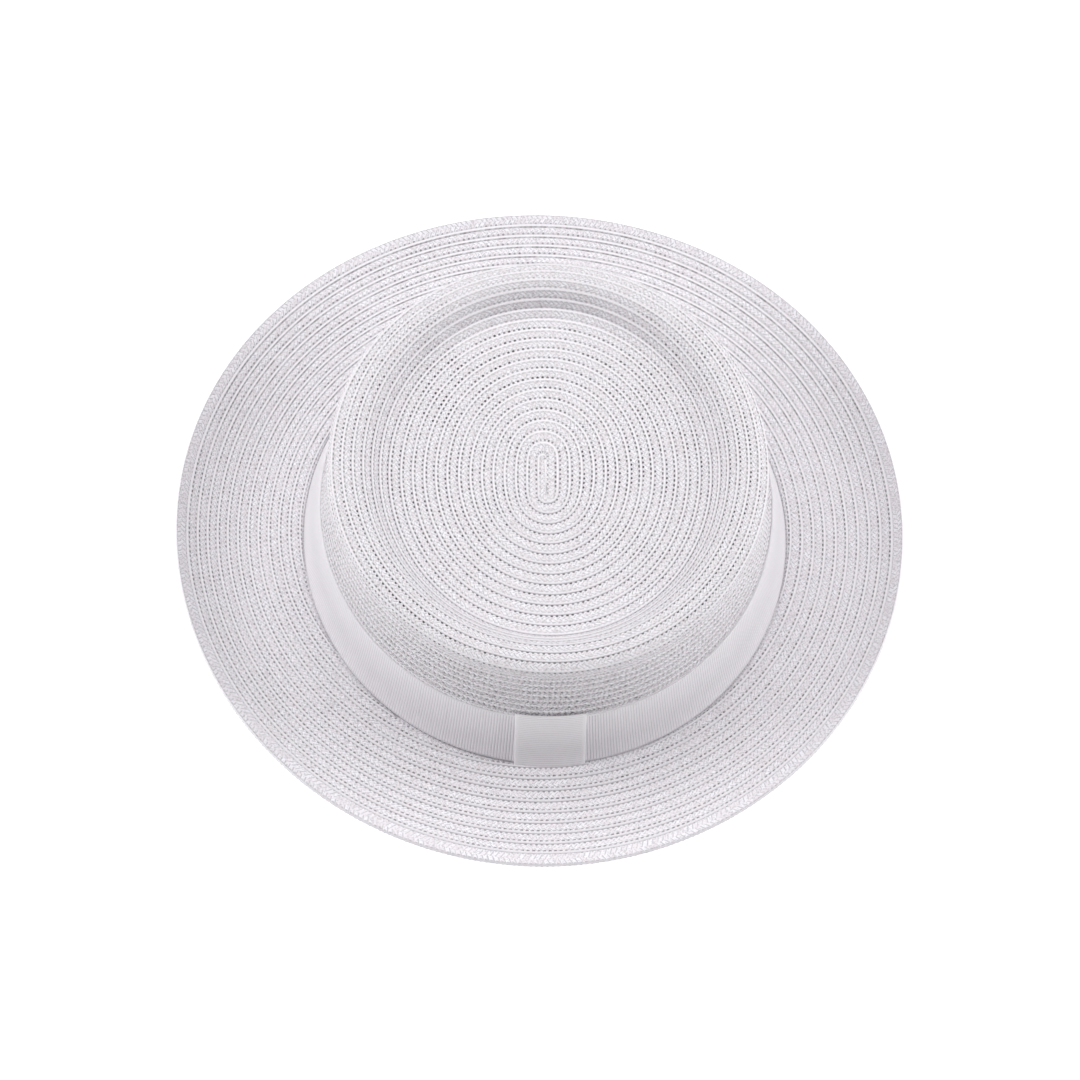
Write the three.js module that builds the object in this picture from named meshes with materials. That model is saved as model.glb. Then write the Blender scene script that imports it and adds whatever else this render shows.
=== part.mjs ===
// Pork pie hat of sewn straw braid, with a ribbon band and its keeper.
// Millimetres, +Z up. The hat stands on its brim: the origin is on the face it rests on, in the middle of
// the brim's outline. X runs across the head, Y along it, and the keeper is on the -Y side.

import * as THREE from "three";

// ---- driving dimensions ----------------------------------------------------------------------------

const STRAW = 1.3;            // straw wall, without the lap of the rows
const LAP = 0.5;              // how far a row's free edge stands above the row that it laps over
const GAP = 0.3;              // clearance between separate pieces

const RIBBON_WIDTH = 25;      // the band's own width, measured down the crown's side
const RIBBON_TOP = 27.5;      // down the side from the rim's corner to the band's upper edge
const RIBBON_THICK = 1.0;
const KEEPER_WIDTH = 25;      // the keeper is a loop of the same ribbon, round the band
const KEEPER_THICK = 0.9;
const KEEPER_LIP = 0.65;      // the loop's thickness where it turns over the band's edges
const KEEPER_STEPS = 6;

const SEGMENTS = 44;          // facets round every oval

// The hat is longer than it is wide. Its rows start round a straight seam in the middle of the tip, and
// get rounder towards the brim's edge.
const SEAM_HALF = 8.2;        // half the length of the straight seam: extra half length of the tip
const EDGE_EXTRA = 3.4;       // extra half length at the brim's edge
const TIP_HALF = 58;          // half width where the tip's flat ends
const EDGE_HALF = 130.5;      // half width at the brim's edge
const ROUNDING = 20;          // half width at which rows stop being straight-sided
const EDGE_SHIFT = -2;        // the brim is a little wider on the left: shift of its edge along X
const SIDE_LIFT = 0.26;       // the brim rises more at the sides, less in front and behind: share of its rise

// Rows of braid from the middle of the tip outwards. pitch: what shows of each row, slope: degrees, up is
// positive, going outwards.
const CROWN_ROWS = [
  { name: "tip", rows: 12, pitch: 4.1, slope: 0.4 },
  { name: "tip edge", rows: 1, pitch: 4.1, slope: 2 },
  { name: "fold", rows: 1, pitch: 4.1, slope: 8 },
  { name: "dent, lower", rows: 1, pitch: 4.0, slope: 42 },
  { name: "dent, middle", rows: 1, pitch: 4.0, slope: 46 },
  { name: "dent, upper", rows: 1, pitch: 4.0, slope: 34 },
  { name: "rim, inner", rows: 1, pitch: 3.7, slope: 8 },
  { name: "rim, outer", rows: 1, pitch: 3.7, slope: -7 },
  { name: "rim corner", rows: 1, pitch: 3.8, slope: -30 },
];
const SIDE_ROWS = { rows: 17, pitch: 3.24, flareTop: 3.5, flareGain: 16.5, flarePower: 1.4 };
const BRIM_ROWS = [
  { name: "rest face", rows: 3, pitch: 3.95, slope: 0 },
  { name: "start of the rise", rows: 1, pitch: 3.95, slope: 4 },
  { name: "rise 1", rows: 1, pitch: 3.95, slope: 8 },
  { name: "rise 2", rows: 1, pitch: 3.95, slope: 12 },
  { name: "rise 3", rows: 1, pitch: 3.95, slope: 15 },
  { name: "rise 4", rows: 1, pitch: 3.95, slope: 17 },
  { name: "rise 5", rows: 1, pitch: 3.95, slope: 19 },
  { name: "rise 6", rows: 1, pitch: 3.95, slope: 22 },
  { name: "turned-up edge", rows: 1, pitch: 4.8, slope: 31 },
];

// ---- materials -------------------------------------------------------------------------------------

const straw = new THREE.MeshStandardMaterial({ color: 0xe9e6ec, roughness: 0.75, metalness: 0 });
const brimStraw = new THREE.MeshStandardMaterial({ color: 0xe8e5eb, roughness: 0.75, metalness: 0 });
const bandCloth = new THREE.MeshStandardMaterial({ color: 0xe3e0e6, roughness: 0.6, metalness: 0 });
const keeperCloth = new THREE.MeshStandardMaterial({ color: 0xdcd8de, roughness: 0.6, metalness: 0 });

// ---- the line that the rows follow -----------------------------------------------------------------

const radians = (degrees) => (degrees * Math.PI) / 180;

// Every row's slope in degrees, with its pitch.
function listRows(table) {
  return table.flatMap(({ rows, pitch, slope }) => Array(rows).fill({ pitch, slope }));
}

function sideRows({ rows, pitch, flareTop, flareGain, flarePower }) {
  return Array.from({ length: rows }, (_, row) => {
    const down = (row + 0.5) / rows;
    const flare = flareTop + flareGain * down ** flarePower;
    return { pitch, slope: flare - 90 };
  });
}

// Walks over the rows and returns the line's corners, with the outward normal of each row.
function walk(rows, start) {
  const corners = [start];
  const normals = [];
  for (const { pitch, slope } of rows) {
    const along = new THREE.Vector2(Math.cos(radians(slope)), Math.sin(radians(slope)));
    corners.push(corners.at(-1).clone().addScaledVector(along, pitch));
    normals.push(new THREE.Vector2(-along.y, along.x));
  }
  return { corners, normals };
}

// The seen side of the straw: each row rises to its free edge, which steps down to the row that it laps over.
function lappedSide({ corners, normals }) {
  return normals.flatMap((normal, row) => [
    corners[row].clone(),
    corners[row + 1].clone().addScaledVector(normal, LAP),
  ]);
}

// A smooth line at a distance from the rows' base line. Only the corners where it turns are kept, and
// every few of the others.
function offsetLine({ corners, normals }, distance, every = 4) {
  const line = [];
  corners.forEach((corner, i) => {
    const before = normals[Math.max(i - 1, 0)];
    const after = normals[Math.min(i, normals.length - 1)];
    const turns = before.dot(after) < Math.cos(radians(2.5));
    const isEnd = i === 0 || i === corners.length - 1;
    if (!turns && !isEnd && i % every !== 0) return;
    const middle = before.clone().add(after).normalize();
    const reach = distance / Math.max(middle.dot(after), 0.5);
    line.push(corner.clone().addScaledVector(middle, reach));
  });
  return line;
}

// ---- from half a section to the oval hat -----------------------------------------------------------

// How much longer than wide an oval is, in half lengths, by its half width.
function extraHalfLength(half) {
  const beyondTip = THREE.MathUtils.clamp((half - TIP_HALF) / (EDGE_HALF - TIP_HALF), 0, 1);
  return SEAM_HALF - (SEAM_HALF - EDGE_EXTRA) * (1 - (1 - beyondTip) ** 2);
}

// The point at an angle of the oval with this half width: straight-sided in the middle, then an ellipse.
function ovalPoint(half, cosine, sine) {
  if (half < 1e-6) return [0, 0];
  const round = (half / ROUNDING) ** 2;
  const stretch = sine * Math.sqrt((1 + round) / (sine * sine + round));
  return [half * cosine, half * sine + extraHalfLength(half) * stretch];
}

// Turns a section of half widths and heights round the Z axis, and spreads it to the ovals. bend gives what
// is added to a point's x and z, by its half width and angle.
function ovalSolid(section, bend = () => [0, 0]) {
  const geometry = new THREE.LatheGeometry([...section].reverse(), SEGMENTS);
  geometry.rotateX(Math.PI / 2);
  const position = geometry.getAttribute("position");
  for (let i = 0; i < position.count; i += 1) {
    const half = Math.hypot(position.getX(i), position.getY(i));
    const angle = Math.atan2(position.getY(i), position.getX(i));
    const [x, y] = ovalPoint(half, Math.cos(angle), Math.sin(angle));
    const [shift, lift] = bend(half, angle);
    position.setXYZ(i, x + shift, y, position.getZ(i) + lift);
  }
  return geometry;
}

// ---- crown -----------------------------------------------------------------------------------------

// The rows set the crown's height: its line is walked from the middle of the tip to the foot, then stood on
// the rest face.
const topRows = listRows(CROWN_ROWS);
const crownLine = walk([...topRows, ...sideRows(SIDE_ROWS)], new THREE.Vector2(0, 0));
const crownHeight = -crownLine.corners.at(-1).y;
crownLine.corners.forEach((corner) => corner.setY(corner.y + crownHeight));
const foot = crownLine.corners.at(-1);

// The part of the line below the rim's corner.
const side = {
  corners: crownLine.corners.slice(topRows.length),
  normals: crownLine.normals.slice(topRows.length),
};

function crownSection() {
  const seen = lappedSide(crownLine).slice(1);
  const middle = new THREE.Vector2(0, seen[0].y);
  const hidden = offsetLine(crownLine, -STRAW).reverse();
  hidden[0].y = foot.y;
  seen.at(-1).y = foot.y;
  hidden.at(-1).x = 0;
  return [middle, ...seen, ...hidden];
}

// ---- brim ------------------------------------------------------------------------------------------

// The brim starts at the headline, round the crown's foot, and its under side starts on the rest face.
const headline = foot.x + LAP + GAP;
const brimLine = walk(listRows(BRIM_ROWS), new THREE.Vector2(headline, STRAW));

// How far the brim's line has risen above the rest rows at this half width.
function brimRise(half) {
  const { corners } = brimLine;
  const outer = corners.findIndex((corner) => corner.x > half);
  if (outer === 0) return 0;
  if (outer < 0) return corners.at(-1).y - STRAW;
  const [from, to] = [corners[outer - 1], corners[outer]];
  return THREE.MathUtils.mapLinear(half, from.x, to.x, from.y, to.y) - STRAW;
}

function brimBend(half, angle) {
  const outwards = THREE.MathUtils.clamp((half - headline) / (EDGE_HALF - headline), 0, 1);
  return [EDGE_SHIFT * outwards, SIDE_LIFT * brimRise(half) * Math.cos(2 * angle)];
}

function brimSection() {
  const seen = lappedSide(brimLine);
  const under = offsetLine(brimLine, -STRAW, 3).reverse();
  return [...seen, ...under, seen[0].clone()];
}

// ---- ribbon band and keeper ------------------------------------------------------------------------

// The point down the crown's side from the rim's corner, at a distance out from the straw's base line.
function besideCrown(down, out) {
  const place = THREE.MathUtils.clamp(down / SIDE_ROWS.pitch, 0, SIDE_ROWS.rows - 1e-6);
  const row = Math.floor(place);
  const point = side.corners[row].clone().lerp(side.corners[row + 1], place - row);
  const share = place - row - 0.5;
  const next = side.normals[THREE.MathUtils.clamp(row + Math.sign(share), 0, SIDE_ROWS.rows - 1)];
  const normal = side.normals[row].clone().lerp(next, Math.abs(share)).normalize();
  return point.addScaledVector(normal, out);
}

function bandSection() {
  const inner = LAP + GAP;
  const outer = inner + RIBBON_THICK;
  const steps = [0, 1 / 3, 2 / 3, 1].map((share) => RIBBON_TOP + share * RIBBON_WIDTH);
  const front = steps.map((down) => besideCrown(down, outer));
  const back = steps.map((down) => besideCrown(down, inner)).reverse();
  return [...front, ...back, front[0].clone()];
}

// The keeper's section, out from the straw and down the side: a face over the band, and a lip over each of
// the band's edges. It is extruded across, then laid round the front of the crown.
function keeperGeometry() {
  const lipBack = LAP + GAP;
  const bandFace = LAP + GAP + RIBBON_THICK;
  const faceBack = bandFace + GAP;
  const faceFront = faceBack + KEEPER_THICK;
  const bandTop = RIBBON_TOP - GAP;
  const bandFoot = RIBBON_TOP + RIBBON_WIDTH + GAP;
  const top = bandTop - KEEPER_LIP;
  const foot = bandFoot + KEEPER_LIP;
  const middle = (top + foot) / 2;
  const shape = new THREE.Shape();
  shape.moveTo(lipBack, top);
  shape.lineTo(faceFront, top);
  shape.lineTo(faceFront, middle);
  shape.lineTo(faceFront, foot);
  shape.lineTo(lipBack, foot);
  shape.lineTo(lipBack, bandFoot);
  shape.lineTo(faceBack, bandFoot);
  shape.lineTo(faceBack, middle);
  shape.lineTo(faceBack, bandTop);
  shape.lineTo(lipBack, bandTop);
  shape.closePath();
  const options = { depth: KEEPER_WIDTH, steps: KEEPER_STEPS, bevelEnabled: false };
  const geometry = new THREE.ExtrudeGeometry(shape, options);
  const position = geometry.getAttribute("position");
  for (let i = 0; i < position.count; i += 1) {
    const place = besideCrown(position.getY(i), position.getX(i));
    const across = position.getZ(i) - KEEPER_WIDTH / 2;
    const cosine = across / place.x;
    const [x, y] = ovalPoint(place.x, cosine, -Math.sqrt(1 - cosine * cosine));
    position.setXYZ(i, x, y, place.y);
  }
  return geometry;
}

// ---- the hat ---------------------------------------------------------------------------------------

function piece(name, geometry, material) {
  const mesh = new THREE.Mesh(geometry, material);
  mesh.name = name;
  return mesh;
}

const hat = new THREE.Group();
hat.name = "pork_pie_hat";
hat.position.x = -EDGE_SHIFT; // the brim's edge is what is centred
hat.add(piece("crown", ovalSolid(crownSection()), straw));
hat.add(piece("brim", ovalSolid(brimSection(), brimBend), brimStraw));
hat.add(piece("ribbon_band", ovalSolid(bandSection()), bandCloth));
hat.add(piece("ribbon_keeper", keeperGeometry(), keeperCloth));

export default hat;
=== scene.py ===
"""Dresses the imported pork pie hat: its sewn braid, its ribbon and a plain stage."""
import math

import bpy
import numpy as np
from bpy.props import FloatProperty, FloatVectorProperty, PointerProperty
from mathutils import Matrix, Vector


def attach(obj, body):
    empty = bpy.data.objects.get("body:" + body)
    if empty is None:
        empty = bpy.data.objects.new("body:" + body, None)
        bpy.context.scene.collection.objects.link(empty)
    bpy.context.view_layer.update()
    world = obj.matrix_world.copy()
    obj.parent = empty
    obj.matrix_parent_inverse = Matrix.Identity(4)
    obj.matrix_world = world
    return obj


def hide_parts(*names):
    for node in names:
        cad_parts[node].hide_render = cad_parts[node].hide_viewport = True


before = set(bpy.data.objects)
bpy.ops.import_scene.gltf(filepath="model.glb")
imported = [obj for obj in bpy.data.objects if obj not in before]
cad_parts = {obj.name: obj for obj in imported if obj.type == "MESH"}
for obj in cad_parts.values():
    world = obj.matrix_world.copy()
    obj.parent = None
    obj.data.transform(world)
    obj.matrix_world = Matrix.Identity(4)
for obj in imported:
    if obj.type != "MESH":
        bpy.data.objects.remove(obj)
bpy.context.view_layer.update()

bl_info = {
    "name": "Sewn Straw Hat",
    "version": (1, 0, 0),
    "blender": (4, 5, 0),
    "location": "3D View > Sidebar > Straw Hat",
    "description": "Lays braid and ribbon on the packed hat, and sets a plain stage round it",
    "category": "Object",
}

MM = 0.001
TAU = 2 * math.pi

# ---- the hat's own lines, in millimetres, as its solids have them ----

CROWN_TOP_ROWS = [  # rows, pitch, slope in degrees, going outwards from the middle of the tip
    (12, 4.1, 0.4), (1, 4.1, 2), (1, 4.1, 8), (1, 4.0, 42), (1, 4.0, 46), (1, 4.0, 34),
    (1, 3.7, 8), (1, 3.7, -7), (1, 3.8, -30),
]
SIDE_ROW_COUNT, SIDE_PITCH = 17, 3.24
BRIM_ROWS = [
    (3, 3.95, 0), (1, 3.95, 4), (1, 3.95, 8), (1, 3.95, 12), (1, 3.95, 15), (1, 3.95, 17),
    (1, 3.95, 19), (1, 3.95, 22), (1, 4.8, 31),
]
SIDE_LEAN, SIDE_FLARE = 3.5, 16.5   # degrees off upright below the rim, and more at the foot
STRAW = 1.3   # the straw wall without the laps
LAP = 0.5     # each row's step over the next one
GAP = 0.3     # between the crown's foot and the brim
SEAM_HALF, EDGE_EXTRA = 8.2, 3.4   # how much longer than wide the oval is, inside and outside
SEAM_FADE, NARROWEST = 8, 0.02
TIP_HALF, EDGE_HALF, ROUNDING = 58, 130.5, 20
EDGE_SHIFT, SIDE_LIFT = -2, 0.26   # the brim's edge, to the side, and up where it turns up more
START_LEFT, START_FRONT, START_FADE = 1.2, 1.6, 20   # the braid's start lies off the middle
SPIRAL_LEAD = 0.2   # rows that the braid's outer edge is ahead at its start
CROWN_X = -EDGE_SHIFT   # the crown stands this far off the middle of the brim's outline
RIBBON_TOP, RIBBON_WIDTH, KEEPER_WIDTH = 27.5, 25.0, 25.0


def listed(table):
    return [(pitch, slope) for rows, pitch, slope in table for _ in range(rows)]


def side_rows():
    """The crown's side flares more towards its foot."""
    share = (np.arange(SIDE_ROW_COUNT) + 0.5) / SIDE_ROW_COUNT
    return [(SIDE_PITCH, slope) for slope in SIDE_LEAN + SIDE_FLARE * share**1.4 - 90]


class RowLine:
    """Half a section of the hat: a smooth line through the corners of its rows."""

    def __init__(self, rows, half, height):
        corners = [(half, height)]
        for pitch, slope in rows:
            turn = math.radians(slope)
            x, z = corners[-1]
            corners.append((x + pitch * math.cos(turn), z + pitch * math.sin(turn)))
        self.corners = np.array(corners)
        self.count = len(rows)

    def at(self, place):
        """Half width and height at a place counted in rows."""
        place = np.clip(place, 0, self.count - 1e-9)
        row = place.astype(int)
        share = (place - row)[..., None]
        knots = [self.corners[np.clip(row + step, 0, self.count)] for step in (-1, 0, 1, 2)]
        before, start, end, after = knots
        point = start + 0.5 * share * (
            end - before
            + share * (2 * before - 5 * start + 4 * end - after
                       + share * (3 * (start - end) + after - before))
        )
        return np.moveaxis(point, -1, 0)


CROWN_TOP_COUNT = len(listed(CROWN_TOP_ROWS))
crown_line = RowLine(listed(CROWN_TOP_ROWS) + side_rows(), 0, 0)
crown_line.corners[:, 1] -= crown_line.corners[-1, 1]
HEADLINE = crown_line.corners[-1, 0] + LAP + GAP
brim_line = RowLine(listed(BRIM_ROWS), HEADLINE, STRAW)


def oval(half, angle):
    """A point of the oval with this half width: straight-sided inside, nearly round outside."""
    half = np.maximum(half, NARROWEST)
    beyond = np.clip((half - TIP_HALF) / (EDGE_HALF - TIP_HALF), 0, 1)
    extra = SEAM_HALF - (SEAM_HALF - EDGE_EXTRA) * (1 - (1 - beyond) ** 2)
    extra = extra - np.exp(-half / SEAM_FADE)
    roundness = (half / ROUNDING) ** 2
    sine = np.sin(angle)
    stretch = sine * np.sqrt((1 + roundness) / (sine**2 + roundness))
    return half * np.cos(angle), half * sine + extra * stretch


def crown_point(place, angle):
    half, height = crown_line.at(place)
    x, y = oval(half, angle)
    stray = np.exp(-half / START_FADE)
    return np.stack([x + CROWN_X - START_LEFT * stray, y - START_FRONT * stray, height], -1)


def brim_point(place, angle):
    half, height = brim_line.at(place)
    x, y = oval(half, angle)
    outwards = np.clip((half - HEADLINE) / (EDGE_HALF - HEADLINE), 0, 1)
    lift = SIDE_LIFT * (height - STRAW) * np.cos(2 * angle)
    return np.stack([x + CROWN_X + EDGE_SHIFT * outwards, y, height + lift], -1)


def turns_out(angle):
    """How many rows out the braid's outer edge has come."""
    return angle / TAU + SPIRAL_LEAD


# ---- laying a braid, a lining of it, or a ribbon ----


def unit(vectors):
    return vectors / np.maximum(np.linalg.norm(vectors, axis=-1, keepdims=True), 1e-12)


def lengths(points):
    """How far along its line each point lies."""
    return np.r_[0, np.cumsum(np.linalg.norm(np.diff(points, axis=0), axis=1))]


def numbers(points):
    """The number of each point in a grid of columns of points."""
    return np.arange(points.shape[0] * points.shape[1]).reshape(points.shape[:2])


def quads_between(index):
    """The quads between the neighbours in a grid of point numbers."""
    corners = [index[:-1, :-1], index[:-1, 1:], index[1:, 1:], index[1:, :-1]]
    return np.stack(corners, -1).reshape(-1, 4)


SAMPLES_A_TURN = 9000   # along a course's middle, to measure it
NUDGE = 1e-4   # radians ahead, to see which way a course goes
SEARCH, HALVINGS = 1.2, 36   # radians to each side in which an edge's point is looked for


class Course:
    """The two edges of a strip that follows the rows, column by column and square to its middle."""

    def __init__(self, point, inner, outer, start, end, step, columns):
        def middle(angle):
            return point((inner(angle) + outer(angle)) / 2, angle)

        samples = np.linspace(start, end, int(SAMPLES_A_TURN * (end - start) / TAU) + 2)
        length = lengths(middle(samples))
        cells = max(1, round(length[-1] / step))
        angle = np.interp(np.linspace(0, length[-1], cells * columns + 1), length, samples)
        centre = middle(angle)
        along = unit(middle(angle + NUDGE) - centre)

        def square_to(edge):
            low, high = angle - SEARCH, angle + SEARCH
            for _ in range(HALVINGS):
                guess = (low + high) / 2
                over = ((point(edge(guess), guess) - centre) * along).sum(-1) > 0
                low, high = np.where(over, low, guess), np.where(over, guess, high)
            return point(edge(guess), guess)

        self.angle = angle
        self.inner, self.outer = square_to(inner), square_to(outer)
        self.out = unit(np.cross(self.outer - self.inner, along))


def ribbon_mesh(name, points, attributes, loop):
    """A closed shell over columns of points in millimetres, each column once round the ribbon's
    section. loop joins the last column to the first, and else both ends are closed."""
    index = numbers(points)
    index = np.concatenate([index, index[:, :1]], 1)
    if loop:
        index = np.concatenate([index, index[:1]])
    quads = quads_between(index)
    if not loop:
        levels = points.shape[1]
        half = levels // 2
        for column, turn in ((index[0], 1), (index[-1], -1)):
            face, back = column[:half], column[half:levels][::-1]
            ends = np.stack([face[:-1], back[:-1], back[1:], face[1:]], -1)
            quads = np.concatenate([quads, ends[:, ::turn]])
    return mesh_of(name, [(points.reshape(-1, 3), quads, attributes)])


def mesh_of(name, parts):
    """One mesh from several lots of points, quads and point attributes."""
    points = np.concatenate([part[0] for part in parts]) * MM
    starts = np.cumsum([0] + [len(part[0]) for part in parts[:-1]])
    quads = np.concatenate([part[1] + start for part, start in zip(parts, starts)])
    mesh = bpy.data.meshes.new(name)
    mesh.vertices.add(len(points))
    mesh.vertices.foreach_set("co", points.astype(np.float32).ravel())
    mesh.loops.add(quads.size)
    mesh.loops.foreach_set("vertex_index", quads.astype(np.int32).ravel())
    mesh.polygons.add(len(quads))
    mesh.polygons.foreach_set("loop_start", np.arange(0, quads.size, 4, dtype=np.int32))
    mesh.update(calc_edges=True)
    mesh.validate()
    mesh.polygons.foreach_set("use_smooth", np.ones(len(mesh.polygons), bool))
    for key in parts[0][2]:
        values = np.concatenate([part[2][key].reshape(len(part[0]), -1) for part in parts])
        kind, field = ("FLOAT_VECTOR", "vector") if values.shape[1] == 3 else ("FLOAT", "value")
        made = mesh.attributes.new(key, kind, "POINT")
        made.data.foreach_set(field, values.astype(np.float32).ravel())
    return mesh


def braid_part(course, levels, first, inner_share, outer_share, columns, sink=0.0, flip=False):
    """Points, quads and attributes of a strip of braid. levels run across it, from 0 to 1, and a
    level past 1 is the free edge's drop. first is the number of its first plait. The shares tell
    where across a whole row the strip's inner and outer edge lie."""
    inner_share, outer_share = (
        np.broadcast_to(share, course.angle.shape) for share in (inner_share, outer_share))
    levels = np.asarray(levels, float)
    inside = np.clip(levels, 0, 1)
    points = (course.inner[:, None] * (1 - inside)[None, :, None]
              + course.outer[:, None] * inside[None, :, None]
              - sink * course.out[:, None])
    across = inner_share[:, None] + (outer_share - inner_share)[:, None] * inside[None]
    across = np.where(levels[None] > 1, levels[None], across)
    along = np.broadcast_to(first + np.arange(len(course.angle))[:, None] / columns, across.shape)
    out = np.broadcast_to(course.out[:, None], points.shape)
    quads = quads_between(numbers(points))
    if flip:
        quads, out = quads[:, ::-1], -out
    return points.reshape(-1, 3), quads, {"along": along, "across": across, "out": out}


# ---- nodes ----


class Term:
    """A socket with a number, for use in an expression: each step adds its Math node."""

    def __init__(self, bench, socket):
        self.bench, self.socket = bench, socket

    def math(self, operation, *others):
        values = dict(enumerate((self, *others)))
        return self.bench.term("ShaderNodeMath", {"operation": operation}, values)

    def __rsub__(self, other):
        return self.bench.term("ShaderNodeMath", {"operation": "SUBTRACT"}, {0: other, 1: self})

    def __add__(self, other): return self.math("ADD", other)
    def __radd__(self, other): return self.math("ADD", other)
    def __sub__(self, other): return self.math("SUBTRACT", other)
    def __mul__(self, other): return self.math("MULTIPLY", other)
    def __rmul__(self, other): return self.math("MULTIPLY", other)
    def __truediv__(self, other): return self.math("DIVIDE", other)
    def __pow__(self, other): return self.math("POWER", other)
    def __neg__(self): return self.math("MULTIPLY", -1.0)
    def __abs__(self): return self.math("ABSOLUTE")
    def __gt__(self, other): return self.math("GREATER_THAN", other)

    def sine(self): return self.math("SINE")
    def cosine(self): return self.math("COSINE")
    def fraction(self): return self.math("FRACT")
    def floor(self): return self.math("FLOOR")
    def root(self): return self.math("SQRT")
    def at_least(self, other): return self.math("MAXIMUM", other)
    def at_most(self, other): return self.math("MINIMUM", other)

    def step(self, low, high, start=0.0, end=1.0):
        """Goes smoothly from start to end as the number goes from low to high."""
        return self.bench.term(
            "ShaderNodeMapRange", {"interpolation_type": "SMOOTHSTEP"},
            {"Value": self, "From Min": low, "From Max": high, "To Min": start, "To Max": end})

    def bump(self, middle, reach):
        """A smooth rise from 0 to 1 and back, reach wide on both sides of middle."""
        return abs(self - middle).step(0.0, reach, 1.0, 0.0)


class Bench:
    """Adds nodes to one tree and joins them."""

    def __init__(self, tree):
        self.tree = tree

    def node(self, kind, settings=None, values=None):
        made = self.tree.nodes.new(kind)
        for name, value in (settings or {}).items():
            setattr(made, name, value)
        for key, value in (values or {}).items():
            self.join(made.inputs[key], value)
        return made

    def join(self, socket, value):
        if isinstance(value, Term):
            value = value.socket
        if isinstance(value, bpy.types.NodeSocket):
            self.tree.links.new(value, socket)
        else:
            socket.default_value = value

    def term(self, kind, settings=None, values=None, output=0):
        return Term(self, self.node(kind, settings, values).outputs[output])

    def noise(self, place, scale, detail):
        return self.term(
            "ShaderNodeTexNoise", None, {"Vector": place, "Scale": scale, "Detail": detail})

    def mix(self, factor, first, second):
        """Goes from the first colour to the second."""
        made = self.node("ShaderNodeMix", {"data_type": "RGBA", "clamp_factor": True},
                         {0: factor, 6: first, 7: second})
        return made.outputs[2]

    def principled(self, values):
        """Ends a material with one surface shader."""
        shader = self.node("ShaderNodeBsdfPrincipled", None, values)
        self.node("ShaderNodeOutputMaterial", None, {"Surface": shader.outputs[0]})


# Where things lie across a row, from the row before it at 0 to the free edge at 1.
HOLES, PLAIT_START, PLAIT_MIDDLE = 0.05, 0.11, 0.42
STITCHES, PLAIT_END, SMOOTH_EDGE = 0.71, 0.8, 0.87
STRAND_LEAN = 2.1    # plaits that a strand would run on over a whole row's width


def plait_phase(along, across):
    """Where a place lies in the plait's strands, which meet in a V along the braid's middle."""
    lean = abs(across - PLAIT_MIDDLE) * STRAND_LEAN
    return along - lean + (across > PLAIT_MIDDLE) * 0.5


# ---- geometry trees ----


def relief_tree(name, inputs):
    """A geometry tree with these named lengths, its bench, and the surface's own coordinates."""
    tree = bpy.data.node_groups.new(name, "GeometryNodeTree")
    face = tree.interface
    face.new_socket(name="Geometry", in_out="INPUT", socket_type="NodeSocketGeometry")
    for label in inputs:
        face.new_socket(name=label, in_out="INPUT", socket_type="NodeSocketFloat")
    face.new_socket(name="Material", in_out="INPUT", socket_type="NodeSocketMaterial")
    face.new_socket(name="Geometry", in_out="OUTPUT", socket_type="NodeSocketGeometry")
    bench = Bench(tree)
    entry = bench.node("NodeGroupInput")
    sizes = {label: Term(bench, entry.outputs[label]) for label in inputs}

    def named(key, kind="FLOAT"):
        made = bench.node("GeometryNodeInputNamedAttribute", {"data_type": kind}, {"Name": key})
        return Term(bench, made.outputs["Attribute"])

    return tree, bench, entry, sizes, named("along"), named("across"), named("out", "FLOAT_VECTOR")


def close_tree(bench, entry, out, height):
    """Moves the surface outwards by a height, then gives it its material."""
    offset = bench.node("ShaderNodeVectorMath", {"operation": "SCALE"}, {0: out, "Scale": height})
    moved = bench.node("GeometryNodeSetPosition", None,
                       {"Geometry": entry.outputs["Geometry"], "Offset": offset.outputs[0]})
    real = bench.node("GeometryNodeRealizeInstances", None, {"Geometry": moved.outputs[0]})
    clad = bench.node("GeometryNodeSetMaterial", None,
                      {"Geometry": real.outputs[0], "Material": entry.outputs["Material"]})
    bench.node("NodeGroupOutput", None, {"Geometry": clad.outputs[0]})


def braid_tree():
    """Raises a flat braid to its lap, strands, stitch holes, groove and smooth free edge."""
    tree, bench, entry, size, along, across, out = relief_tree(
        "Braid Relief", ["Lap", "Strand", "Hole", "Groove", "Edge", "Drop"])
    strand = abs((plait_phase(along, across) * math.pi).sine()).root()
    body = across.step(HOLES, 0.2) * across.step(PLAIT_END - 0.05, SMOOTH_EDGE, 1.0, 0.0)
    wave = (along * TAU).cosine()
    hole = across.bump(HOLES, 0.1) * wave.at_least(0.0)
    dash = across.bump(STITCHES, 0.06) * (0.65 - 0.35 * wave)
    ridge = across.bump(SMOOTH_EDGE, 0.12)
    height = (size["Lap"] * across.at_most(SMOOTH_EDGE) / SMOOTH_EDGE
              + size["Strand"] * body * (strand - 0.5)
              - size["Hole"] * hole - size["Groove"] * dash + size["Edge"] * ridge)
    dropped = across > 1.01
    height = height * (1 - dropped) - size["Drop"] * dropped
    close_tree(bench, entry, out, height)
    return tree


def rib_tree():
    """Raises a flat ribbon to ribs across it and a firm selvedge along each side."""
    tree, bench, entry, size, along, across, out = relief_tree(
        "Ribbon Ribs", ["Rib", "Selvedge", "Selvedge Width"])
    rib = abs((along * math.pi).sine()).root()
    side = across.at_most(1 - across) / size["Selvedge Width"]
    inside = side.step(0.6, 1.4)
    close_tree(bench, entry, out, size["Rib"] * rib * inside + size["Selvedge"] * (1 - inside))
    return tree


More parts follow.
